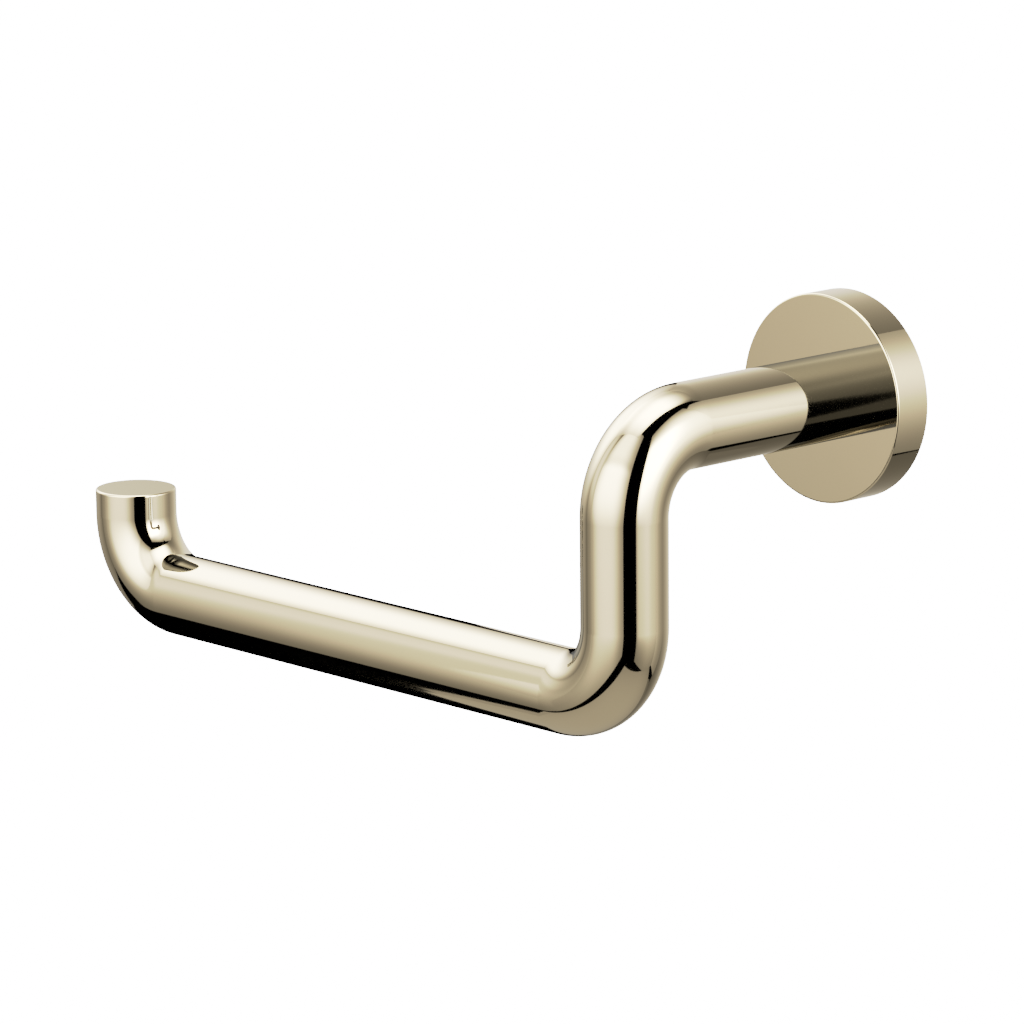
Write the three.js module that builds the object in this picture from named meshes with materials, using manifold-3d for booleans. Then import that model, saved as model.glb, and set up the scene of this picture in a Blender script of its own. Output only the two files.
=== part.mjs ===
// A wall-mounted toilet paper holder: a round flange, and one bent tube that comes out of the wall,
// drops, and runs sideways as an open bar with a turned-up end, so that a roll slides on from the left.
//
// Millimetres, +Z up. The wall is the plane y = 0 and the holder stands out from it along -Y. The
// origin is the flange's centre on the wall. The bar runs along -X.
import * as THREE from "three";
import { mergeVertices } from "three/addons/utils/BufferGeometryUtils.js";
import Module from "manifold-3d";

const wasm = await Module();
wasm.setup();

// ---- Driving dimensions -------------------------------------------------------------------------
const TUBE_RADIUS = 9.525; // a 3/4 inch tube
const TUBE_WALL = 2;
const POST_REACH = 70; // wall to the axis of the vertical leg
const LEG_DROP = 58.6; // post axis down to bar axis
const BAR_LENGTH = 165.1; // leg axis to the axis of the turned-up end
const HOOK_RISE = 23.3; // bar axis up to the end face
const BEND_RADIUS = 17.5; // of the tube's axis, at all three bends
const CAP_HEAD = 1.5; // thickness of the disc that closes the turned-up end

const FLANGE_RADIUS = 23.4;
const FLANGE_DEPTH = 9.5;
const FLANGE_WALL = 2.4;
const FLANGE_WEB = 2.5;

const BRACKET_RADIUS = 20.7;
const BRACKET_DEPTH = 6.2;
const BRACKET_BASE = 2.6;
const BRACKET_RIM = 1.8;
const BRACKET_RELIEF = 0.6; // how far most of the back stands off the wall

const SLOT_SPACING = 25.6; // between the two slots that the wall screws go through
const SLOT_WIDTH = 4.8;
const SLOT_LENGTH = 8;

const SET_SCREW_RADIUS = 1.95; // M4
const SET_SCREW_LENGTH = 6;
const SET_SCREW_FROM_WALL = 4.2; // its axis, which is upright
const SET_SCREW_TIP = 16; // below the origin, when it is tight
const BOSS_TOP = 17.2; // below the origin

const BOLT_RADIUS = 2.95; // M6
const BOLT_HEAD = 2.4;
const FLAT_WASHER = 1; // thickness
const LOCK_WASHER = 1.2; // thickness
const PIN_RADIUS = 0.8;
const PIN_OFFSET = 5.75; // above the post's axis
const CLEARANCE = 0.2; // radial, between pieces that fit into each other

// ---- Dimensions that follow ---------------------------------------------------------------------
const BORE_RADIUS = TUBE_RADIUS - TUBE_WALL;
const PLUG_RADIUS = BORE_RADIUS - 0.275; // clear of the flats of a bore drawn with straight sides
const SPIGOT_RADIUS = 4.2;
const WEB_BACK = FLANGE_DEPTH - FLANGE_WEB;
const FLANGE_INSIDE = FLANGE_RADIUS - FLANGE_WALL;
const PIN_START = WEB_BACK + 0.3;
const PIN_END = FLANGE_DEPTH + 3.4;
const BOLT_SEAT = WEB_BACK - FLAT_WASHER - LOCK_WASHER;
const HEX_CORNER = 0.5 / Math.cos(Math.PI / 6); // corner radius of a hexagon 1 across its flats
const ROUND_SIDES = 32;

// ---- Finishes -----------------------------------------------------------------------------------
const metal = (color, roughness) => new THREE.MeshStandardMaterial({ color, roughness, metalness: 1 });
const polishedNickel = metal(0xd0c6a8, 0.08);
const castZinc = metal(0x9b9ca0, 0.5);
const turnedBrass = metal(0xc9a85a, 0.35);
const zincPlatedSteel = metal(0xb9bcc0, 0.3);
const stainlessSteel = metal(0xa9aaab, 0.25);

// ---- Solids -------------------------------------------------------------------------------------
// A closed geometry as a solid, whichever way its faces were wound.
function solid(geometry) {
  const bare = geometry.clone();
  bare.deleteAttribute("normal");
  bare.deleteAttribute("uv");
  const merged = mergeVertices(bare);
  const vertProperties = merged.attributes.position.array;
  const triVerts = new Uint32Array(merged.index.array);
  const made = new wasm.Manifold(new wasm.Mesh({ numProp: 3, vertProperties, triVerts }));
  if (made.volume() >= 0) return made;
  triVerts.reverse();
  return new wasm.Manifold(new wasm.Mesh({ numProp: 3, vertProperties, triVerts }));
}

function piece(name, body, material) {
  const { vertProperties, triVerts } = body.getMesh();
  const geometry = new THREE.BufferGeometry();
  geometry.setAttribute("position", new THREE.BufferAttribute(new Float32Array(vertProperties), 3));
  geometry.setIndex(new THREE.BufferAttribute(new Uint32Array(triVerts), 1));
  geometry.computeVertexNormals();
  const mesh = new THREE.Mesh(geometry, material);
  mesh.name = name;
  return mesh;
}

// A profile of [radius, height] corners turned about the Y axis.
function turned(profile, sides = ROUND_SIDES) {
  const corners = profile.map(([radius, height]) => new THREE.Vector2(radius, height));
  return solid(new THREE.LatheGeometry(corners, sides));
}

// A round rod or hole along the Y axis from one height to another.
function rod(radius, from, to, sides = ROUND_SIDES) {
  const geometry = new THREE.CylinderGeometry(radius, radius, Math.abs(to - from), sides);
  return solid(geometry.translate(0, (from + to) / 2, 0));
}

// A box from its lowest corner to its highest one.
function block(low, high) {
  const [x, y, z] = high.map((value, axis) => value - low[axis]);
  const [cx, cy, cz] = high.map((value, axis) => (value + low[axis]) / 2);
  return solid(new THREE.BoxGeometry(x, y, z).translate(cx, cy, cz));
}

// Corners of a quarter round from one [radius, height] corner to the next, about their common centre.
function quarterRound([centreRadius, centreHeight], size, startAngle, steps = 4) {
  return Array.from({ length: steps + 1 }, (_, i) => {
    const angle = startAngle + ((Math.PI / 2) * i) / steps;
    return [centreRadius + size * Math.cos(angle), centreHeight + size * Math.sin(angle)];
  });
}

// ---- The bent tube ------------------------------------------------------------------------------
// A path with its stations only where the tube needs them: the two ends, and the steps of each bend.
class BentTubePath extends THREE.Curve {
  constructor(corners, bendRadius, stepsPerBend) {
    super();
    this.stations = [];
    const directions = corners.slice(1).map((corner, i) => corner.clone().sub(corners[i]).normalize());
    this.addStation(corners[0], directions[0]);
    for (let i = 1; i < directions.length; i++) {
      const [arriving, leaving] = [directions[i - 1], directions[i]];
      const centre = corners[i].clone().addScaledVector(arriving, -bendRadius);
      centre.addScaledVector(leaving, bendRadius);
      for (let step = 0; step <= stepsPerBend; step++) {
        const angle = ((Math.PI / 2) * step) / stepsPerBend;
        const point = centre.clone().addScaledVector(leaving, -bendRadius * Math.cos(angle));
        point.addScaledVector(arriving, bendRadius * Math.sin(angle));
        const tangent = arriving.clone().multiplyScalar(Math.cos(angle));
        this.addStation(point, tangent.addScaledVector(leaving, Math.sin(angle)));
      }
    }
    this.addStation(corners.at(-1), directions.at(-1));
  }

  addStation(point, tangent) {
    this.stations.push({ point: point.clone(), tangent: tangent.clone() });
  }

  get steps() {
    return this.stations.length - 1;
  }

  station(u) {
    return this.stations[Math.round(u * this.steps)];
  }

  getPointAt(u) {
    return this.station(u).point.clone();
  }

  getTangentAt(u) {
    return this.station(u).tangent.clone();
  }
}

function roundSweep(path, radius, sides) {
  const section = new THREE.Shape();
  for (let i = 0; i < sides; i++) {
    const angle = (2 * Math.PI * i) / sides;
    const [x, y] = [radius * Math.cos(angle), radius * Math.sin(angle)];
    if (i === 0) section.moveTo(x, y);
    else section.lineTo(x, y);
  }
  return solid(new THREE.ExtrudeGeometry(section, { steps: path.steps, extrudePath: path }));
}

const wallEnd = new THREE.Vector3(0, -FLANGE_DEPTH, 0);
const postCorner = new THREE.Vector3(0, -POST_REACH, 0);
const legCorner = new THREE.Vector3(0, -POST_REACH, -LEG_DROP);
const hookCorner = new THREE.Vector3(-BAR_LENGTH, -POST_REACH, -LEG_DROP);
const hookEnd = new THREE.Vector3(-BAR_LENGTH, -POST_REACH, HOOK_RISE - LEG_DROP);
const tubeEnd = hookEnd.clone().setZ(hookEnd.z - CAP_HEAD);

function armTube() {
  const corners = [wallEnd, postCorner, legCorner, hookCorner, tubeEnd];
  const outside = roundSweep(new BentTubePath(corners, BEND_RADIUS, 8), TUBE_RADIUS, ROUND_SIDES);
  // The bore runs a little past both ends, so that it opens them.
  const overrun = 1;
  const boreStart = wallEnd.clone().setY(wallEnd.y + overrun);
  const boreEnd = tubeEnd.clone().setZ(tubeEnd.z + overrun);
  const boreCorners = [boreStart, postCorner, legCorner, hookCorner, boreEnd];
  const bore = roundSweep(new BentTubePath(boreCorners, BEND_RADIUS, 6), BORE_RADIUS, 24);
  return piece("arm_tube", outside.subtract(bore), polishedNickel);
}

// The turned disc brazed into the turned-up end, with its spigot down the bore.
function armEndCap() {
  const chamfer = 0.35;
  const spigotLength = 4;
  const profile = [
    [0, -spigotLength - CAP_HEAD],
    [PLUG_RADIUS - chamfer, -spigotLength - CAP_HEAD],
    [PLUG_RADIUS, -spigotLength - CAP_HEAD + chamfer],
    [PLUG_RADIUS, -CAP_HEAD],
    [TUBE_RADIUS, -CAP_HEAD],
    [TUBE_RADIUS, -chamfer],
    [TUBE_RADIUS - chamfer, 0],
    [0, 0],
  ];
  const mesh = piece("arm_end_cap", turned(profile), polishedNickel);
  mesh.rotation.x = Math.PI / 2;
  mesh.position.copy(hookEnd);
  return mesh;
}

// The threaded plug brazed into the wall end. Its spigot goes through the flange's web.
function armRootPlug() {
  const length = 16;
  const chamfer = 1;
  const threadEnd = 21;
  const inside = FLANGE_DEPTH + length;
  const spigotEnd = WEB_BACK + CLEARANCE;
  const profile = [
    [0, -inside],
    [PLUG_RADIUS - chamfer, -inside],
    [PLUG_RADIUS, chamfer - inside],
    [PLUG_RADIUS, -FLANGE_DEPTH],
    [SPIGOT_RADIUS, -FLANGE_DEPTH],
    [SPIGOT_RADIUS, -spigotEnd],
    [0, -spigotEnd],
  ];
  const thread = rod(BOLT_RADIUS + CLEARANCE, -threadEnd, 0, 24);
  const pinHole = rod(PIN_RADIUS + CLEARANCE, -PIN_END - CLEARANCE, 0, 12).translate(0, 0, PIN_OFFSET);
  return piece("arm_root_plug", turned(profile).subtract(thread).subtract(pinHole), turnedBrass);
}

// ---- Flange and what clamps the arm to it -------------------------------------------------------
// The cup that covers the bracket, with a boss inside its lowest point for the set screw.
function flangeCover() {
  const frontRound = 0.4;
  const backChamfer = 0.2;
  const spigotHole = SPIGOT_RADIUS + CLEARANCE;
  const roundCentre = [FLANGE_RADIUS - frontRound, frontRound - FLANGE_DEPTH];
  const profile = [
    [FLANGE_INSIDE, -WEB_BACK],
    [spigotHole, -WEB_BACK],
    [spigotHole, -FLANGE_DEPTH],
    ...quarterRound(roundCentre, frontRound, -Math.PI / 2),
    [FLANGE_RADIUS, -backChamfer],
    [FLANGE_RADIUS - backChamfer, 0],
    [FLANGE_INSIDE, 0],
    [FLANGE_INSIDE, -WEB_BACK],
  ];
  const pinHole = rod(PIN_RADIUS + CLEARANCE, -FLANGE_DEPTH - 1, 0, 12).translate(0, 0, PIN_OFFSET);
  const screwHole = rod(SET_SCREW_RADIUS + CLEARANCE, -FLANGE_RADIUS - 1, 1 - BOSS_TOP, 20);
  const placedScrewHole = screwHole.rotate([90, 0, 0]).translate(0, -SET_SCREW_FROM_WALL, 0);
  const cup = turned(profile, 64).add(setScrewBoss());
  return piece("flange_cover", cup.subtract(placedScrewHole).subtract(pinHole), polishedNickel);
}

// It runs a little way into the rim and into the web, so that the three are one casting.
function setScrewBoss() {
  const halfWidth = 5;
  const offWall = 1.2;
  const intoRim = 1.2;
  const intoWeb = 0.6;
  const low = [-halfWidth, -WEB_BACK - intoWeb, -FLANGE_INSIDE - intoRim];
  return block(low, [halfWidth, -offWall, -BOSS_TOP]);
}

function locatingPin() {
  const chamfer = 0.2;
  const profile = [
    [0, -PIN_END],
    [PIN_RADIUS - chamfer, -PIN_END],
    [PIN_RADIUS, -PIN_END + chamfer],
    [PIN_RADIUS, -PIN_START - chamfer],
    [PIN_RADIUS - chamfer, -PIN_START],
    [0, -PIN_START],
  ];
  const mesh = piece("locating_pin", turned(profile, 12), stainlessSteel);
  mesh.position.z = PIN_OFFSET;
  return mesh;
}

function ring(outer, inner, from, to) {
  return turned([[inner, from], [outer, from], [outer, to], [inner, to], [inner, from]]);
}

function flatWasher() {
  const outer = 8;
  const body = ring(outer, BOLT_RADIUS + CLEARANCE, -WEB_BACK, FLAT_WASHER - WEB_BACK);
  return piece("flat_washer", body, zincPlatedSteel);
}

// A spring washer, pressed flat, with its split cut on the slant.
function lockWasher() {
  const outer = 5.4;
  const halfGap = 0.35;
  const slant = 30;
  const body = ring(outer, BOLT_RADIUS + CLEARANCE, -BOLT_SEAT - LOCK_WASHER, -BOLT_SEAT);
  const middle = -BOLT_SEAT - LOCK_WASHER / 2;
  const gap = block([BOLT_RADIUS - 1, -LOCK_WASHER * 2, -halfGap], [outer + 1, LOCK_WASHER * 2, halfGap]);
  const placedGap = gap.rotate([slant, 0, 0]).translate(0, middle, 0);
  return piece("lock_washer", body.subtract(placedGap), zincPlatedSteel);
}

// The low-headed M6 screw that pulls the arm against the flange from behind.
function armBolt() {
  const headRadius = 5;
  const shankLength = 14;
  const chamfer = 0.5;
  const keySize = 4;
  const keyDepth = 1.6;
  const headBack = BOLT_SEAT - BOLT_HEAD;
  const profile = [
    [0, -BOLT_SEAT - shankLength],
    [BOLT_RADIUS - chamfer, -BOLT_SEAT - shankLength],
    [BOLT_RADIUS, chamfer - BOLT_SEAT - shankLength],
    [BOLT_RADIUS, -BOLT_SEAT],
    [headRadius, -BOLT_SEAT],
    [headRadius, -headBack - chamfer],
    [headRadius - chamfer, -headBack],
    [0, -headBack],
  ];
  const socket = rod(HEX_CORNER * keySize, -headBack - keyDepth, 0, 6);
  return piece("arm_bolt", turned(profile, 24).subtract(socket), zincPlatedSteel);
}

// ---- Set screw ----------------------------------------------------------------------------------
// It threads up through the flange's lowest point and bears on the bracket's sloping anvil.
function setScrew() {
  const pointLength = 1.1;
  const pointRadius = 0.8;
  const chamfer = 0.3;
  const keySize = 2;
  const keyDepth = 2.2;
  const profile = [
    [0, 0],
    [SET_SCREW_RADIUS - chamfer, 0],
    [SET_SCREW_RADIUS, chamfer],
    [SET_SCREW_RADIUS, SET_SCREW_LENGTH - pointLength],
    [pointRadius, SET_SCREW_LENGTH],
    [0, SET_SCREW_LENGTH],
  ];
  const socket = rod(HEX_CORNER * keySize, -1, keyDepth, 6);
  const mesh = piece("set_screw", turned(profile, 20).subtract(socket), stainlessSteel);
  mesh.rotation.x = Math.PI / 2;
  mesh.position.set(0, -SET_SCREW_FROM_WALL, -SET_SCREW_TIP - SET_SCREW_LENGTH);
  return mesh;
}

// ---- Wall bracket -------------------------------------------------------------------------------
// A die-cast dish: a flat base, an upstanding rim, two screw slots, three ribs, and at its lowest
// point a notch for the flange's boss and the anvil that the set screw bears on.
function mountingBracket() {
  const padRadius = 6; // a pad at the middle of the back, which touches the wall
  const pocketRadius = 7; // a pocket at the middle of the front, for the bolt's head
  const pocketFloor = 1.8;
  const rimInside = BRACKET_RADIUS - BRACKET_RIM;
  const profile = [
    [0, 0],
    [padRadius, 0],
    [padRadius, -BRACKET_RELIEF],
    [rimInside, -BRACKET_RELIEF],
    [rimInside, 0],
    [BRACKET_RADIUS, 0],
    [BRACKET_RADIUS, -BRACKET_DEPTH],
    [rimInside, -BRACKET_DEPTH],
    [rimInside, -BRACKET_BASE],
    [pocketRadius, -BRACKET_BASE],
    [pocketRadius, -pocketFloor],
    [0, -pocketFloor],
  ];
  const notchHalfWidth = 5.6;
  const notchTop = BOSS_TOP - 0.6;
  const notchLow = [-notchHalfWidth, -BRACKET_DEPTH - 1, -BRACKET_RADIUS - 1];
  let body = turned(profile, 48).subtract(block(notchLow, [notchHalfWidth, 1, -notchTop]));
  for (const angle of [0, 50, -50]) {
    body = body.add(bracketRib(pocketRadius, rimInside).rotate([0, angle, 0]));
  }
  for (const side of [-1, 1]) {
    body = body.subtract(screwSlot().translate((side * SLOT_SPACING) / 2, 0, 0));
  }
  return piece("mounting_bracket", body.add(anvil()), castZinc);
}

// A rib that stands on the base, from the pocket's edge out to the rim.
function bracketRib(pocketRadius, rimInside) {
  const halfWidth = 0.8;
  const height = 2;
  const overlap = 0.5;
  const low = [-halfWidth, -BRACKET_BASE - height, pocketRadius + overlap];
  return block(low, [halfWidth, overlap - BRACKET_BASE, rimInside + overlap]);
}

function screwSlot() {
  const radius = SLOT_WIDTH / 2;
  const halfStraight = SLOT_LENGTH / 2 - radius;
  const front = -BRACKET_BASE - 1;
  const end = rod(radius, front, 1, 20);
  const middle = block([-radius, front, -halfStraight], [radius, 1, halfStraight]);
  return middle.add(end.translate(0, 0, halfStraight)).add(end.translate(0, 0, -halfStraight));
}

// A block whose lower face leans over, so that the rising screw point draws the flange to the wall.
function anvil() {
  const halfWidth = 4.2;
  const root = -BRACKET_RELIEF - 0.2;
  const heel = -1.8;
  const rootBottom = -14.8;
  const lipBottom = -16.4;
  const outline = new THREE.Shape([
    new THREE.Vector2(root, rootBottom),
    new THREE.Vector2(root, -10.5),
    new THREE.Vector2(-BRACKET_DEPTH, -12),
    new THREE.Vector2(-BRACKET_DEPTH, lipBottom),
    new THREE.Vector2(heel, rootBottom),
  ]);
  const geometry = new THREE.ExtrudeGeometry(outline, { depth: 2 * halfWidth, bevelEnabled: false });
  // The outline is drawn in (y, z). These turns put it there and lay its thickness along X.
  geometry.translate(0, 0, -halfWidth).rotateX(Math.PI / 2).rotateZ(Math.PI / 2);
  return solid(geometry);
}

// ---- The assembly -------------------------------------------------------------------------------
const flange = new THREE.Group();
flange.add(flangeCover(), setScrew(), flatWasher(), lockWasher(), armBolt(), locatingPin());

const arm = new THREE.Group();
arm.add(armTube(), armRootPlug(), armEndCap());

const holder = new THREE.Group();
holder.name = "toilet_paper_holder";
holder.add(mountingBracket(), flange, arm);

export default holder;
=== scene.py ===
"""A polished nickel toilet paper holder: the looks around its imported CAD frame.

Metres, +Z up, the wall is the plane y = 0 and the holder stands out from it along -Y. Meshes are
made in millimetres and scaled down once, at the end of their making.
"""

import math

import bmesh
import bpy
from mathutils import Matrix, Vector


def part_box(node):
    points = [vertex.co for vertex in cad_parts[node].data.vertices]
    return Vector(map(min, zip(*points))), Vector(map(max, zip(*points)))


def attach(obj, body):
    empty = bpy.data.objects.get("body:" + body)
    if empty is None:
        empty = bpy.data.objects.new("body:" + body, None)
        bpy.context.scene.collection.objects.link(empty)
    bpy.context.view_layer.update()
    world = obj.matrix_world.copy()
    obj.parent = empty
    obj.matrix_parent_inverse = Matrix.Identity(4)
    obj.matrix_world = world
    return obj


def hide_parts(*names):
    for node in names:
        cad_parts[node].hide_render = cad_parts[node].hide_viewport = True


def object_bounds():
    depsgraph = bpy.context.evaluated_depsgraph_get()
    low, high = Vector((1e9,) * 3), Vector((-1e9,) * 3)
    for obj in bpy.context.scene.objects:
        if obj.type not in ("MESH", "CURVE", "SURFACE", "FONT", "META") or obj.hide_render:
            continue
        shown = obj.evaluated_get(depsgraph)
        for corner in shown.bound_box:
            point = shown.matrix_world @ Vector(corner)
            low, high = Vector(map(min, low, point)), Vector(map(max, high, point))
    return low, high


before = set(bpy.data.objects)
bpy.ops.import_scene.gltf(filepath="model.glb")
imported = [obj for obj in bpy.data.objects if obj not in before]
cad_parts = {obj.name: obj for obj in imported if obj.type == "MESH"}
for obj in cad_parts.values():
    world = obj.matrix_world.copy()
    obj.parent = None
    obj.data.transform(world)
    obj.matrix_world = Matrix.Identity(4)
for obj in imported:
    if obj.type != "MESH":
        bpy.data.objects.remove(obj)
cad_low, cad_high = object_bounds()

MM = 0.001
TURN = 2 * math.pi
MERGE = 0.001  # millimetres; corners closer than this are one
SMOOTH_LIMIT = math.radians(32)  # edges that bend more than this stay sharp

# ---- Dimensions, in millimetres, from the frame's own boxes --------------------------------------
tube_low, tube_high = (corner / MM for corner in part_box("arm_tube"))
flange_low, flange_high = (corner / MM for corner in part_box("flange_cover"))
cap_low, cap_high = (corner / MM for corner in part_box("arm_end_cap"))
plug_low, plug_high = (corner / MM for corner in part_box("arm_root_plug"))
bolt_low, bolt_high = (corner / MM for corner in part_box("arm_bolt"))
lock_low, lock_high = (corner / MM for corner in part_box("lock_washer"))
flat_low, flat_high = (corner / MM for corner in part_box("flat_washer"))
pin_low, pin_high = (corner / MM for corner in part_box("locating_pin"))
screw_low, screw_high = (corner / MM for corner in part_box("set_screw"))
plate_low, plate_high = (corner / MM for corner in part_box("mounting_bracket"))

TUBE_RADIUS = tube_high.x
TUBE_WALL = 2.0
BEND_RADIUS = 17.5
POST_REACH = -tube_low.y - TUBE_RADIUS
LEG_DROP = -tube_low.z - TUBE_RADIUS
BAR_LENGTH = -tube_low.x - TUBE_RADIUS
FLANGE_RADIUS = flange_high.x
FLANGE_DEPTH = -flange_low.y
FLANGE_WALL = 2.4
FLANGE_INSIDE = FLANGE_RADIUS - FLANGE_WALL
WEB_BACK = flat_low.y
CAP_HEAD = 1.5
CAP_DEPTH = 5.5
SPIGOT_RADIUS = 4.2
CLEARANCE = 0.2
PIN_RADIUS = pin_high.x
PIN_HOLE_RADIUS = 1.0
PIN_HEIGHT = (pin_low.z + pin_high.z) / 2
WASHER_HOLE_RADIUS = 3.15
SCREW_FROM_WALL = (screw_low.y + screw_high.y) / 2
BOSS_TOP = -17.2


# ---- Meshes --------------------------------------------------------------------------------------
def filleted(corners, closed=True, steps=6):
    """An outline of (a, b, radius) corners with each corner rounded; radius 0 stays sharp."""
    outline = []
    for i, (a, b, radius) in enumerate(corners):
        at_end = not closed and i in (0, len(corners) - 1)
        if radius == 0 or at_end:
            outline.append((a, b))
            continue
        here = Vector((a, b))
        before = (Vector(corners[i - 1][:2]) - here).normalized()
        after = (Vector(corners[(i + 1) % len(corners)][:2]) - here).normalized()
        half = before.angle(after) / 2
        reach = radius / math.tan(half)
        centre = here + (before + after).normalized() * (radius / math.sin(half))
        first = here + before * reach - centre
        last = here + after * reach - centre
        sweep = first.angle_signed(last)
        for step in range(steps + 1):
            # angle_signed is clockwise in Blender, and so is this turn.
            turn = -sweep * step / steps
            c, s = math.cos(turn), math.sin(turn)
            outline.append((centre.x + c * first.x - s * first.y, centre.y + s * first.x + c * first.y))
    return outline


def rectangle(left, right, bottom, top):
    """Its four corners, counter-clockwise."""
    return [(left, bottom), (right, bottom), (right, top), (left, top)]


def skin(bm, rings, closed=False):
    """Faces between each ring of vertices and the next; a ring of one vertex is a pole."""
    pairs = list(zip(rings, rings[1:]))
    if closed:
        pairs.append((rings[-1], rings[0]))
    for a, b in pairs:
        sides = max(len(a), len(b))
        for k in range(sides):
            n = (k + 1) % sides
            corners = [a[k % len(a)], a[n % len(a)], b[n % len(b)], b[k % len(b)]]
            bm.faces.new(list(dict.fromkeys(corners)))


def mesh_piece(name, bm):
    """A piece from bm, whose faces all end up pointing out."""
    bmesh.ops.recalc_face_normals(bm, faces=bm.faces)
    mesh = bpy.data.meshes.new(name)
    bm.to_mesh(mesh)
    bm.free()
    piece = bpy.data.objects.new(name, mesh)
    bpy.context.scene.collection.objects.link(piece)
    return piece


def turned(name, profile, sides, closed=False, ripple=None):
    """(radius, y) corners turned about the Y axis. ripple(radius, y, angle) may change a radius."""
    bm = bmesh.new()
    rings = []
    for radius, y in profile:
        if radius < 1e-6:
            rings.append([bm.verts.new((0, y, 0))])
            continue
        ring = []
        for k in range(sides):
            angle = TURN * k / sides
            r = ripple(radius, y, angle) if ripple else radius
            ring.append(bm.verts.new((r * math.cos(angle), y, r * math.sin(angle))))
        rings.append(ring)
    skin(bm, rings, closed)
    return mesh_piece(name, bm)


def prism(name, outline, low, high):
    """An outline of (x, z) corners with straight sides along Y, from low to high."""
    bm = bmesh.new()
    ends = [[bm.verts.new((x, y, z)) for x, z in outline] for y in (low, high)]
    skin(bm, ends)
    for end in ends:
        bm.faces.new(end)
    return mesh_piece(name, bm)


def combined(piece, other, operation):
    """piece with other joined on ('UNION') or cut away ('DIFFERENCE')."""
    modifier = piece.modifiers.new("combine", "BOOLEAN")
    modifier.operation = operation
    modifier.solver = "EXACT"
    modifier.object = other
    applied(piece)
    bpy.data.objects.remove(other)
    return piece


def applied(piece):
    """Makes the piece's modifiers part of its mesh."""
    bpy.context.view_layer.update()
    depsgraph = bpy.context.evaluated_depsgraph_get()
    mesh = bpy.data.meshes.new_from_object(piece.evaluated_get(depsgraph), depsgraph=depsgraph)
    piece.modifiers.clear()
    piece.data = mesh


def placed(piece, matrix):
    """Moves the piece's mesh, and leaves its object at the origin."""
    piece.data.transform(matrix)
    return piece


UPRIGHT = Matrix.Rotation(math.pi / 2, 4, "X")  # turns +Y up to +Z


def finished(piece, body, node, material):
    """Smooths the piece, brings it to metres and ties it to the frame."""
    bm = bmesh.new()
    bm.from_mesh(piece.data)
    bmesh.ops.remove_doubles(bm, verts=bm.verts, dist=MERGE)
    bmesh.ops.dissolve_degenerate(bm, edges=bm.edges, dist=MERGE)
    for face in bm.faces:
        face.smooth = True
    for edge in bm.edges:
        edge.smooth = edge.is_manifold and edge.calc_face_angle() < SMOOTH_LIMIT
    bm.to_mesh(piece.data)
    bm.free()
    weighted = piece.modifiers.new("flat_faces_stay_flat", "WEIGHTED_NORMAL")
    weighted.mode = "FACE_AREA"
    weighted.weight = 90
    weighted.keep_sharp = True
    applied(piece)
    piece.data.transform(Matrix.Scale(MM, 4))
    piece.data.materials.clear()
    piece.data.materials.append(material)
    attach(piece, body)
    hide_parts(node)


def thread(crest, pitch, depth, start, end):
    """A ripple that cuts a right-hand thread between two heights and runs it out at both ends."""

    def ripple(radius, y, angle):
        if not start < y < end:
            return radius
        fade = min(1.0, (y - start) / pitch, (end - y) / pitch)
        phase = (y / pitch + angle / TURN) % 1
        from_crest = abs(2 * phase - 1)
        lowered = min(1.0, max(0.0, (from_crest - 0.125) / 0.625))
        return min(radius, crest - depth * lowered * fade)

    return ripple


def heights(start, end, pitch, per_turn=12):
    """Heights from start to end, close enough together to draw a thread of that pitch."""
    steps = max(1, round(abs(end - start) / pitch * per_turn))
    return [start + (end - start) * i / steps for i in range(steps + 1)]


# ---- Materials -----------------------------------------------------------------------------------
def node(tree, kind, settings=None, **inputs):
    """A shader node. Each input is a plain value, or another node's socket to link."""
    made = tree.nodes.new("ShaderNode" + kind)
    for key, value in (settings or {}).items():
        setattr(made, key, value)
    for key, value in inputs.items():
        socket = made.inputs[key.replace("_", " ")]
        if isinstance(value, bpy.types.NodeSocket):
            tree.links.new(value, socket)
        else:
            socket.default_value = value
    return made


def ramp(tree, value, low, high, start=0.35, end=0.65):
    """A colour that goes from low to high as value goes from start to end."""
    made = node(tree, "ValToRGB", Fac=value)
    for element, position, colour in zip(made.color_ramp.elements, (start, end), (low, high)):
        element.position = position
        element.color = (*colour, 1)
    return made.outputs["Color"]


def spread(tree, value, low, high, start, end):
    """A number that goes from low to high as value goes from start to end."""
    made = node(tree, "MapRange", Value=value, From_Min=start, From_Max=end, To_Min=low, To_Max=high)
    return made.outputs["Result"]


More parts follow.
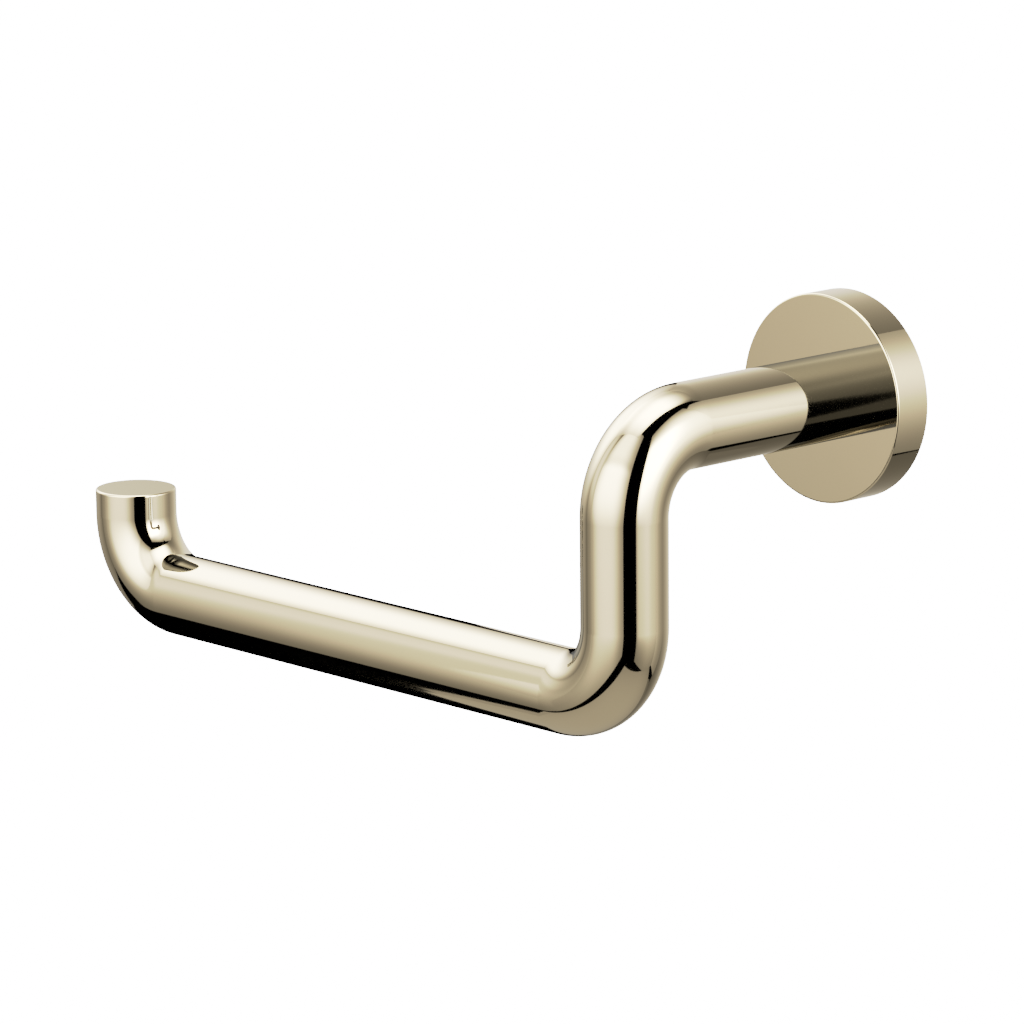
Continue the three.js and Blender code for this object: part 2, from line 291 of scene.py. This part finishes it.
def metal(name, colours, roughness, patch, grain, grain_height, stretch=(1, 1, 1), rings=None):
    """A bare metal. patch and grain are sizes in metres: of its slow mottle and of its fine texture.

    stretch squeezes the grain along an axis into lines, and rings is the spacing of tool marks
    turned about the Y axis.
    """
    material = bpy.data.materials.new(name)
    material.use_nodes = True
    tree = material.node_tree
    shader = tree.nodes["Principled BSDF"]
    shader.inputs["Metallic"].default_value = 1.0
    place = node(tree, "TexCoord").outputs["Object"]
    mottle = node(tree, "TexNoise", Vector=place, Scale=1 / patch, Detail=3.0).outputs["Fac"]
    lines = node(tree, "Mapping", Vector=place, Scale=stretch).outputs["Vector"]
    fine = node(tree, "TexNoise", Vector=lines, Scale=1 / grain, Detail=4.0).outputs["Fac"]
    height = fine
    if rings:
        marks = node(
            tree, "TexWave", {"wave_type": "RINGS", "rings_direction": "Y"},
            Vector=place, Scale=0.05 / rings, Distortion=2.0, Detail=2.0, Detail_Scale=2.0,
        ).outputs["Fac"]
        height = node(tree, "Math", {"operation": "ADD"})
        tree.links.new(marks, height.inputs[0])
        tree.links.new(fine, height.inputs[1])
        height = height.outputs["Value"]
    tree.links.new(ramp(tree, mottle, *colours), shader.inputs["Base Color"])
    worn = node(tree, "Math", {"operation": "MULTIPLY"})
    tree.links.new(mottle, worn.inputs[0])
    tree.links.new(fine, worn.inputs[1])
    tree.links.new(spread(tree, worn.outputs["Value"], *roughness, 0.15, 0.35), shader.inputs["Roughness"])
    bump = node(tree, "Bump", Strength=1.0, Distance=grain_height, Height=height)
    tree.links.new(bump.outputs["Normal"], shader.inputs["Normal"])
    return material


POLISHED_NICKEL = metal(
    "polished_nickel_plate", ((0.655, 0.575, 0.425), (0.665, 0.585, 0.435)),
    roughness=(0.030, 0.050), patch=0.030, grain=0.0012, grain_height=4e-7,
)
TURNED_BRASS = metal(
    "turned_brass", ((0.60, 0.40, 0.13), (0.68, 0.48, 0.19)),
    roughness=(0.22, 0.38), patch=0.006, grain=0.0004, grain_height=2e-6, rings=0.00035,
)
ZINC_PLATE = metal(
    "bright_zinc_plate", ((0.50, 0.52, 0.57), (0.60, 0.60, 0.57)),
    roughness=(0.20, 0.36), patch=0.004, grain=0.0003, grain_height=5e-6,
)
STAINLESS = metal(
    "machined_stainless", ((0.48, 0.47, 0.45), (0.56, 0.55, 0.53)),
    roughness=(0.18, 0.32), patch=0.003, grain=0.0008, grain_height=4e-6, stretch=(1, 1, 12),
)
STAINLESS_PIN = metal(
    "ground_stainless", ((0.48, 0.47, 0.45), (0.56, 0.55, 0.53)),
    roughness=(0.18, 0.32), patch=0.003, grain=0.0008, grain_height=4e-6, stretch=(1, 12, 1),
)
CAST_ZINC = metal(
    "tumbled_cast_zinc", ((0.36, 0.37, 0.39), (0.50, 0.50, 0.51)),
    roughness=(0.42, 0.62), patch=0.005, grain=0.0009, grain_height=3e-5,
)


# ---- The bent tube -------------------------------------------------------------------------------
def tube_stations(corners, bend_steps, run_step):
    """(point, across, upward) along straight runs and quarter bends, with an untwisted section."""
    directions = [(b - a).normalized() for a, b in zip(corners, corners[1:])]
    across = Vector((1, 0, 0))
    upward = directions[0].cross(across)
    stations = []
    start = corners[0]
    for i, direction in enumerate(directions):
        last = i == len(directions) - 1
        end = corners[i + 1] if last else corners[i + 1] - direction * BEND_RADIUS
        steps = max(1, round((end - start).length / run_step))
        first = 0 if i == 0 else 1
        for step in range(first, steps + 1):
            stations.append((start.lerp(end, step / steps), across, upward))
        if last:
            break
        following = directions[i + 1]
        axis = direction.cross(following)
        centre = end + following * BEND_RADIUS
        for step in range(1, bend_steps + 1):
            turn = Matrix.Rotation(math.pi / 2 * step / bend_steps, 3, axis)
            stations.append((centre + turn @ (end - centre), turn @ across, turn @ upward))
        across, upward = turn @ across, turn @ upward
        start = stations[-1][0]
    return stations


def tube_rings(bm, stations, radius, sides):
    """A ring of vertices round each station."""
    rings = []
    for point, across, upward in stations:
        ring = []
        for k in range(sides):
            angle = TURN * k / sides
            spoke = across * math.cos(angle) + upward * math.sin(angle)
            ring.append(bm.verts.new(point + radius * spoke))
        rings.append(ring)
    return rings


def bent_tube():
    """One tube: the post, the leg, the bar and the turned-up end, with its bore."""
    corners = [
        Vector((0, tube_high.y, 0)),
        Vector((0, -POST_REACH, 0)),
        Vector((0, -POST_REACH, -LEG_DROP)),
        Vector((-BAR_LENGTH, -POST_REACH, -LEG_DROP)),
        Vector((-BAR_LENGTH, -POST_REACH, cap_high.z - CAP_HEAD)),
    ]
    bm = bmesh.new()
    outside = tube_rings(bm, tube_stations(corners, 44, 4.0), TUBE_RADIUS, 112)
    bore = tube_rings(bm, tube_stations(corners, 20, 20.0), TUBE_RADIUS - TUBE_WALL, 112)
    skin(bm, outside + bore[::-1], closed=True)
    return mesh_piece("bent_tube", bm)


def end_disc():
    """The turned disc that closes the turned-up end, with its spigot down the bore."""
    spigot = plug_high.x
    profile = filleted([
        (0, -CAP_DEPTH, 0),
        (spigot, -CAP_DEPTH, 0.35),
        (spigot, -CAP_HEAD, 0),
        (TUBE_RADIUS, -CAP_HEAD, 0),
        (TUBE_RADIUS, 0, 0.5),
        (0, 0, 0),
    ], closed=False)
    where = Matrix.Translation((-BAR_LENGTH, -POST_REACH, cap_high.z))
    return placed(turned("end_disc", profile, 128), where @ UPRIGHT)


# ---- Flange --------------------------------------------------------------------------------------
SET_SCREW_PITCH = 0.7


def screw_cutter(crest, root, low, high, mouth):
    """A threaded hole's inside, upright, with a countersunk mouth at its lower end."""
    start = low + 1.0 + mouth - root
    profile = [(0, low), (mouth, low), (mouth, low + 0.9), (root, low + 0.9 + mouth - root)]
    profile += [(root, y) for y in heights(start, high, SET_SCREW_PITCH)] + [(0, high)]
    ripple = thread(root, SET_SCREW_PITCH, root - crest, start, high + 2)
    cutter = turned("cutter", profile, 64, ripple=ripple)
    return placed(cutter, Matrix.Translation((0, SCREW_FROM_WALL, 0)) @ UPRIGHT)


def flange_cup():
    """The cup over the wall plate, with the boss that holds the grub screw."""
    hole = SPIGOT_RADIUS + CLEARANCE
    profile = filleted([
        (FLANGE_INSIDE, WEB_BACK, 0.8),
        (hole, WEB_BACK, 0.15),
        (hole, -FLANGE_DEPTH, 0),
        (FLANGE_RADIUS, -FLANGE_DEPTH, 0.45),
        (FLANGE_RADIUS, 0, 0.25),
        (FLANGE_INSIDE, 0, 0.25),
    ])
    cup = turned("flange_cup", profile, 224, closed=True)
    boss_outline = filleted([
        (-5.0, -FLANGE_INSIDE - 1.2, 0),
        (5.0, -FLANGE_INSIDE - 1.2, 0),
        (5.0, BOSS_TOP, 0.6),
        (-5.0, BOSS_TOP, 0.6),
    ])
    combined(cup, prism("boss", boss_outline, WEB_BACK - 0.6, -1.2), "UNION")
    combined(cup, screw_cutter(2.03, 2.3, -FLANGE_RADIUS - 1, BOSS_TOP + 1, 2.7), "DIFFERENCE")
    pin_hole = turned("pin_hole", rectangle(0, PIN_HOLE_RADIUS, -12, 0), 32)
    combined(cup, placed(pin_hole, Matrix.Translation((0, 0, PIN_HEIGHT))), "DIFFERENCE")
    return cup


# ---- What clamps the arm to the flange -----------------------------------------------------------
BOLT_RADIUS = 2.95
BOLT_PITCH = 1.0
BOLT_THREAD_DEPTH = 0.6


def threaded_plug():
    """The brass plug in the tube's wall end, tapped for the clamp screw."""
    outer = plug_high.x
    bottom = -21.0
    mouth = plug_high.y
    crest = BOLT_RADIUS + 0.05
    profile = filleted([
        (0, plug_low.y, 0),
        (outer, plug_low.y, 1.0),
        (outer, -FLANGE_DEPTH, 0.2),
        (SPIGOT_RADIUS, -FLANGE_DEPTH, 0.1),
        (SPIGOT_RADIUS, mouth, 0.3),
        (crest + 0.3, mouth, 0),
        (crest, mouth - 0.3, 0),
    ], closed=False)
    profile += [(crest, y) for y in heights(mouth - 0.4, bottom, BOLT_PITCH)]
    profile += [(0, bottom - 1.4)]
    ripple = thread(crest, BOLT_PITCH, BOLT_THREAD_DEPTH, bottom, mouth - 0.3)

    def inside_only(radius, y, angle):
        return ripple(radius, y, angle) if abs(radius - crest) < 1e-6 else radius

    plug = turned("threaded_plug", profile, 64, ripple=inside_only)
    pin_hole = turned("pin_hole", rectangle(0, PIN_HOLE_RADIUS, -13.1, -9), 32)
    return combined(plug, placed(pin_hole, Matrix.Translation((0, 0, PIN_HEIGHT))), "DIFFERENCE")


def socket_cutter(across_flats, bottom, mouth):
    """A hexagon key's hole along Y, from its drilled bottom out past the mouth."""
    corner = across_flats / 2 / math.cos(math.pi / 6)
    out = 1 if mouth > bottom else -1
    profile = [
        (0, bottom - out * 0.25 * across_flats),
        (corner, bottom),
        (corner, mouth + out),
        (0, mouth + out),
    ]
    return turned("socket", profile, 6)


def clamp_screw():
    """The low-headed M6 screw behind the flange."""
    seat, back, tip = lock_high.y, bolt_high.y, bolt_low.y
    crest = BOLT_RADIUS
    profile = filleted([(0, tip, 0), (crest, tip, 0.5), (crest, tip + 1, 0)], closed=False)[:-1]
    profile += [(crest, y) for y in heights(tip + 0.6, seat - 0.3, BOLT_PITCH)]
    profile += filleted([
        (crest, seat, 0),
        (bolt_high.x, seat, 0.15),
        (bolt_high.x, back, 0.5),
        (0, back, 0),
    ], closed=False)
    ripple = thread(crest, BOLT_PITCH, BOLT_THREAD_DEPTH, tip - 1, seat - 1)
    screw = turned("clamp_screw", profile, 64, ripple=ripple)
    return combined(screw, socket_cutter(4, back - 1.6, back), "DIFFERENCE")


def spring_washer():
    """A split washer, pressed flat, whose two ends are cut on the slant."""
    inner, outer = WASHER_HOLE_RADIUS, lock_high.x
    bottom, top = lock_low.y, lock_high.y
    section = filleted([(r, y, 0.15) for r, y in rectangle(inner, outer, bottom, top)])
    half_gap = 0.4
    slant = math.tan(math.radians(30))
    bm = bmesh.new()
    rings = []
    steps = 96
    for step in range(steps + 1):
        ring = []
        for radius, y in section:
            lean = slant * (y - (bottom + top) / 2) / radius
            clear = half_gap / radius
            angle = clear + (TURN - 2 * clear) * step / steps - lean
            ring.append(bm.verts.new((radius * math.cos(angle), y, radius * math.sin(angle))))
        rings.append(ring)
    skin(bm, rings)
    bm.faces.new(rings[0])
    bm.faces.new(rings[-1])
    return mesh_piece("spring_washer", bm)


def plain_washer():
    """The flat washer between the spring washer and the flange's web."""
    bottom, top = flat_low.y, flat_high.y
    inner, outer = WASHER_HOLE_RADIUS, flat_high.x
    profile = filleted([(r, y, 0.15) for r, y in rectangle(inner, outer, bottom, top)])
    return turned("plain_washer", profile, 96, closed=True)


def dowel_pin():
    """The pin that keeps the arm from turning on the flange."""
    profile = filleted([
        (0, pin_low.y, 0),
        (PIN_RADIUS, pin_low.y, 0.2),
        (PIN_RADIUS, pin_high.y, 0.2),
        (0, pin_high.y, 0),
    ], closed=False)
    return placed(turned("dowel_pin", profile, 32), Matrix.Translation((0, 0, PIN_HEIGHT)))


def grub_screw():
    """The M4 hex-socket screw with a cone point that locks the flange on its plate."""
    crest, depth = 1.95, 0.4
    length = screw_high.z - screw_low.z
    profile = [(0, 0), (crest - 0.3, 0)]
    profile += [(crest, y) for y in heights(0.3, length - 1.1, SET_SCREW_PITCH, 14)]
    profile += [(0.8, length), (0, length)]
    ripple = thread(crest, SET_SCREW_PITCH, depth, 0, length - 0.4)
    screw = turned("grub_screw", profile, 48, ripple=ripple)
    combined(screw, socket_cutter(2, 2.2, 0), "DIFFERENCE")
    return placed(screw, Matrix.Translation((0, SCREW_FROM_WALL, screw_low.z)) @ UPRIGHT)


# ---- Wall plate ----------------------------------------------------------------------------------
SLOT_SPACING = 25.6
SLOT_WIDTH = 4.8
SLOT_LENGTH = 8.0


def wall_plate():
    """The die-cast dish on the wall, with its screw slots, ribs, and the anvil for the grub screw."""
    outer = plate_high.x
    front = plate_low.y
    rim_inside = outer - 1.8
    base = -2.6
    profile = filleted([
        (0, 0, 0),
        (6, 0, 0.15),
        (6, -0.6, 0.15),
        (rim_inside, -0.6, 0.15),
        (rim_inside, 0, 0.15),
        (outer, 0, 0.2),
        (outer, front, 0.4),
        (rim_inside, front, 0.4),
        (rim_inside, base, 0.6),
        (7, base, 0.3),
        (7, -1.8, 0.3),
        (0, -1.8, 0),
    ], closed=False, steps=4)
    plate = turned("wall_plate", profile, 160)
    notch = filleted([
        (-5.6, -outer - 1, 0),
        (5.6, -outer - 1, 0),
        (5.6, BOSS_TOP + 0.6, 0.5),
        (-5.6, BOSS_TOP + 0.6, 0.5),
    ])
    combined(plate, prism("notch", notch, front - 1, 1), "DIFFERENCE")
    rib_outline = rectangle(-0.8, 0.8, 7.5, rim_inside + 0.5)
    for degrees in (0, 50, -50):
        rib = prism("rib", rib_outline, base - 2, base + 0.5)
        combined(plate, placed(rib, Matrix.Rotation(math.radians(degrees), 4, "Y")), "UNION")
    for side in (-1, 1):
        middle = side * SLOT_SPACING / 2
        half = SLOT_WIDTH / 2
        straight = (SLOT_LENGTH - SLOT_WIDTH) / 2
        slot = [
            (middle + half * math.cos(a), half * math.sin(a) + math.copysign(straight, math.sin(a)))
            for a in (TURN * (k + 0.5) / 40 for k in range(40))
        ]
        combined(plate, prism("slot", slot, base - 1, 1), "DIFFERENCE")
    anvil_outline = [(-0.8, -14.8), (-0.8, -10.5), (front, -12), (front, -16.4), (-1.8, -14.8)]
    bm = bmesh.new()
    ends = [[bm.verts.new((x, y, z)) for y, z in anvil_outline] for x in (-4.2, 4.2)]
    skin(bm, ends)
    for end in ends:
        bm.faces.new(end)
    combined(plate, mesh_piece("anvil", bm), "UNION")
    bevel = plate.modifiers.new("cast_edges", "BEVEL")
    bevel.width = 0.2
    bevel.segments = 2
    bevel.limit_method = "ANGLE"
    bevel.angle_limit = math.radians(40)
    bevel.use_clamp_overlap = True
    applied(plate)
    return plate


finished(bent_tube(), "holder", "arm_tube", POLISHED_NICKEL)
finished(end_disc(), "holder", "arm_end_cap", POLISHED_NICKEL)
finished(flange_cup(), "holder", "flange_cover", POLISHED_NICKEL)
finished(threaded_plug(), "holder", "arm_root_plug", TURNED_BRASS)
finished(clamp_screw(), "holder", "arm_bolt", ZINC_PLATE)
finished(spring_washer(), "holder", "lock_washer", ZINC_PLATE)
finished(plain_washer(), "holder", "flat_washer", ZINC_PLATE)
finished(dowel_pin(), "holder", "locating_pin", STAINLESS_PIN)
finished(grub_screw(), "set_screw", "set_screw", STAINLESS)
finished(wall_plate(), "holder", "mounting_bracket", CAST_ZINC)


# ---- Camera --------------------------------------------------------------------------------------
def aim_camera():
    """The photograph's camera: it looks at the origin, and is then moved sideways and up."""
    azimuth, elevation, roll = (math.radians(degrees) for degrees in (46.86, 12.3, -0.55))
    distance, right_shift, up_shift = 1.1273, -0.0747, -0.0264
    back = Vector((
        math.sin(azimuth) * math.cos(elevation),
        -math.cos(azimuth) * math.cos(elevation),
        math.sin(elevation),
    ))
    level = Vector((math.cos(azimuth), math.sin(azimuth), 0))
    upward = back.cross(level)
    right = level * math.cos(roll) + upward * math.sin(roll)
    top = upward * math.cos(roll) - level * math.sin(roll)
    data = bpy.data.cameras.new("camera")
    data.sensor_width = 36
    data.lens = 179
    data.clip_start = 0.01
    data.clip_end = 100
    camera = bpy.data.objects.new("camera", data)
    camera.matrix_world = Matrix((
        (right.x, top.x, back.x, 0),
        (right.y, top.y, back.y, 0),
        (right.z, top.z, back.z, 0),
        (0, 0, 0, 1),
    ))
    camera.location = back * distance + right * right_shift + top * up_shift
    bpy.context.scene.collection.objects.link(camera)
    bpy.context.scene.camera = camera


aim_camera()

# ---- Studio --------------------------------------------------------------------------------------
# Soft boxes and cards on the walls of a room round the object. Each wall's own coordinates (u, v) run
# from -1 to 1 across the room, and reach past that where a card stands higher than the room is wide.
# What no card covers is black to the metal, and gives it its dark lines. The cards' outlines and
# lamps follow the reflections in the photograph.
WHITE = 5.0  # the light that the film curve shows as pure white
ROOM = 2.7
ROOM_CENTRE = (cad_low + cad_high) / 2
WALLS = {
    "front": ((0, -1, 0), (1, 0, 0), (0, 0, 1)),
    "left": ((-1, 0, 0), (0, 1, 0), (0, 0, 1)),
    "right": ((1, 0, 0), (0, 1, 0), (0, 0, 1)),
    "back": ((0, 1, 0), (1, 0, 0), (0, 0, 1)),
    "top": ((0, 0, 1), (1, 0, 0), (0, 1, 0)),
    "floor": ((0, 0, -1), (1, 0, 0), (0, 1, 0)),
}
CARD_CELL = 0.035
# The light after its first reflection, and what is left of it after more than one: the tube's
# images in the flange and in the tube itself are much darker than the tube.
FIRST_LIGHT = (1.2, 1.12, 0.97)
SECOND_LIGHT = (0.3, 0.32, 0.35)


def glowing_material():
    material = bpy.data.materials.new("card_glow")
    material.use_nodes = True
    tree = material.node_tree
    tree.nodes.clear()
    depth = node(tree, "LightPath").outputs["Ray Depth"]
    again = node(tree, "Math", {"operation": "GREATER_THAN"})
    tree.links.new(depth, again.inputs[0])
    again.inputs[1].default_value = 1.5
    colour = ramp(tree, again.outputs["Value"], FIRST_LIGHT, SECOND_LIGHT, 0, 1)
    glow = node(tree, "Attribute", {"attribute_name": "glow"}).outputs["Fac"]
    light = node(tree, "Emission", Color=colour, Strength=glow).outputs["Emission"]
    node(tree, "OutputMaterial", Surface=light)
    return material


CARD_GLOW = glowing_material()


def lamp_light(u, v, centre, reach, strength, hardness):
    """A soft lamp's light at (u, v).

    reach says how far to its left, right, below and above half of the strength is left, and
    hardness how suddenly it falls there.
    """
    left, right, below, above = reach
    across, up = u - centre[0], v - centre[1]
    across /= left if across < 0 else right
    up /= below if up < 0 else above
    return strength / (1 + abs(across) ** hardness) / (1 + abs(up) ** hardness)


def card(name, wall, outline, base, *lamps, hang=1.0):
    """A card with a convex outline, counter-clockwise, that glows by its base light and its lamps.

    hang below 1 brings it nearer and makes it smaller to match, so that it covers the one behind it.
    """
    us, vs = zip(*outline)
    columns = math.ceil((max(us) - min(us)) / CARD_CELL)
    rows = math.ceil((max(vs) - min(vs)) / CARD_CELL)
    bm = bmesh.new()
    bmesh.ops.create_grid(bm, x_segments=columns, y_segments=rows, size=0.5)
    for vertex in bm.verts:
        s, t = vertex.co.x + 0.5, vertex.co.y + 0.5
        vertex.co = (min(us) + s * (max(us) - min(us)), min(vs) + t * (max(vs) - min(vs)), 0)
    for (u, v), (next_u, next_v) in zip(outline, outline[1:] + outline[:1]):
        everything = bm.verts[:] + bm.edges[:] + bm.faces[:]
        outward = (next_v - v, u - next_u, 0)
        bmesh.ops.bisect_plane(bm, geom=everything, plane_co=(u, v, 0), plane_no=outward, clear_outer=True)
    glow = []
    for vertex in bm.verts:
        glow.append(base + sum(lamp_light(vertex.co.x, vertex.co.y, *lamp) for lamp in lamps))
    mesh = bpy.data.meshes.new(name)
    bm.to_mesh(mesh)
    bm.free()
    mesh.attributes.new("glow", "FLOAT", "POINT").data.foreach_set("value", glow)
    normal, across, up = (Vector(axis) for axis in WALLS[wall])
    place = Matrix((across, up, normal)).transposed().to_4x4()
    distance = ROOM * hang
    mesh.transform(Matrix.Translation(ROOM_CENTRE + distance * normal) @ place @ Matrix.Scale(distance, 4))
    mesh.materials.append(CARD_GLOW)
    piece = bpy.data.objects.new(name, mesh)
    bpy.context.scene.collection.objects.link(piece)
    piece.visible_camera = False
    piece.visible_shadow = False


card(
    "front_card", "front", [(-1.05, -1.05), (0.85, -0.7), (1.0, 0.0), (1.25, 2.85), (-1.05, 2.85)], 0.25,
    ((0.0, 0.6), (0.8, 0.55, 0.65, 0.2), 4.2, 4),
    ((-0.2, 1.3), (0.6, 0.7, 0.45, 1.6), 2.5, 4),
)
card(
    "left_card", "left",
    [(-0.45, -0.35), (0.1, -0.55), (0.4, -0.5), (0.75, 0.05), (1.0, 0.5), (1.05, 1.6), (-0.45, 1.6)], 0.1,
    ((0.05, 0.75), (0.4, 0.55, 0.5, 0.8), 4.6, 4),
)
card(
    "corner_card", "left", [(-1.1, -1.1), (-0.45, -0.58), (-0.45, 2.2), (-1.1, 2.2)], 0.15,
    ((-0.65, 0.6), (0.2, 0.2, 0.5, 0.9), 1.05, 4),
    ((-1.1, 0.4), (0.25, 0.25, 0.8, 0.75), 0.75, 3),
)
card(
    "right_card", "right", [(-0.25, -0.7), (0.45, -1.0), (1.0, -1.0), (1.0, 2.05), (-0.25, 1.3)], 0.15,
    ((0.0, 0.4), (0.2, 0.45, 0.4, 0.35), 9.0, 6),
    ((0.7, 0.6), (0.6, 0.5, 0.6, 0.55), 2.9, 3),
)
card(
    "back_card", "back", [(-1.02, -1.0), (0.4, -1.0), (0.4, 1.5), (-1.02, 1.5)], 0.07,
    ((-0.8, 0.15), (0.8, 0.9, 0.6, 0.55), 0.9, 3),
    ((-1.0, 1.8), (1.0, 0.8, 0.5, 1.0), 0.9, 2),
)
card(
    "back_right_card", "back", [(0.4, -0.84), (1.0, -1.0), (1.0, 1.7), (0.7, 1.6), (0.25, 0.85)], 0.2,
    ((1.05, 0.6), (0.35, 1.0, 0.55, 0.5), 2.1, 2),
    hang=0.99,
)
card(
    "top_card", "top", [(-0.95, -0.45), (0.28, -0.45), (0.28, 0.7), (-0.95, 0.7)], 0.0,
    ((0.0, 0.1), (0.45, 0.25, 0.42, 0.27), 6.5, 4),
    ((-1.0, 0.05), (1.0, 0.38, 0.3, 0.42), 5.5, 3),
)
card(
    "floor_card", "floor", [(-1.01, -0.85), (1.05, -0.85), (1.05, 0.88), (-1.01, 0.88)], 0.06,
    ((-0.2, 0.0), (2.0, 1.7, 1.5, 1.1), 0.4, 3),
)
card("floor_left_card", "floor", [(-1.15, -0.85), (-1.01, -0.85), (-1.01, -0.1)], 0.36)
card("floor_back_card", "floor", [(-1.0, 0.88), (0.6, 0.88), (0.5, 1.0), (-1.0, 1.0)], 0.17)
card("floor_right_card", "floor", [(1.05, 0.35), (1.8, 0.35), (1.8, 1.1), (1.05, 1.1)], 0.32)


def white_floor():
    """The pale floor that the camera sees. It takes no part in the metal's reflections."""
    bm = bmesh.new()
    size, height = 40, -1.4
    bm.faces.new([bm.verts.new((x, y, height)) for x, y in rectangle(-size, size, -size, size)])
    floor = mesh_piece("floor", bm)
    material = bpy.data.materials.new("floor_white")
    material.use_nodes = True
    tree = material.node_tree
    tree.nodes.clear()
    light = node(tree, "Emission", Color=(1, 1, 1, 1), Strength=WHITE).outputs["Emission"]
    node(tree, "OutputMaterial", Surface=light)
    floor.data.materials.append(material)
    for ray in ("diffuse", "glossy", "transmission", "volume_scatter", "shadow"):
        setattr(floor, "visible_" + ray, False)


white_floor()


def white_world():
    """White to the camera and black to the metal, so that the gaps between the cards are dark."""
    world = bpy.data.worlds.new("studio")
    bpy.context.scene.world = world
    world.use_nodes = True
    background = world.node_tree.nodes["Background"]
    background.inputs["Color"].default_value = (1, 1, 1, 1)
    background.inputs["Strength"].default_value = WHITE
    for ray in ("diffuse", "glossy", "transmission", "scatter"):
        setattr(world.cycles_visibility, ray, False)


white_world()


def film_curve():
    """A film-like shoulder: true up to a middle grey, then easing the brightest lights to white."""
    settings = bpy.context.scene.view_settings
    settings.view_transform = "Standard"
    settings.look = "None"
    settings.use_curve_mapping = True
    mapping = settings.curve_mapping
    mapping.white_level = (WHITE, WHITE, WHITE)
    curve = mapping.curves[3]
    start = ((0.2, 0.2), (0.4, 0.4))
    shoulder = ((0.6, 0.56), (0.8, 0.64), (1.2, 0.75), (1.8, 0.84), (2.7, 0.91), (3.8, 0.96))
    for light, shown in start + shoulder:
        curve.points.new(light / WHITE, shown)
    mapping.update()


film_curve()
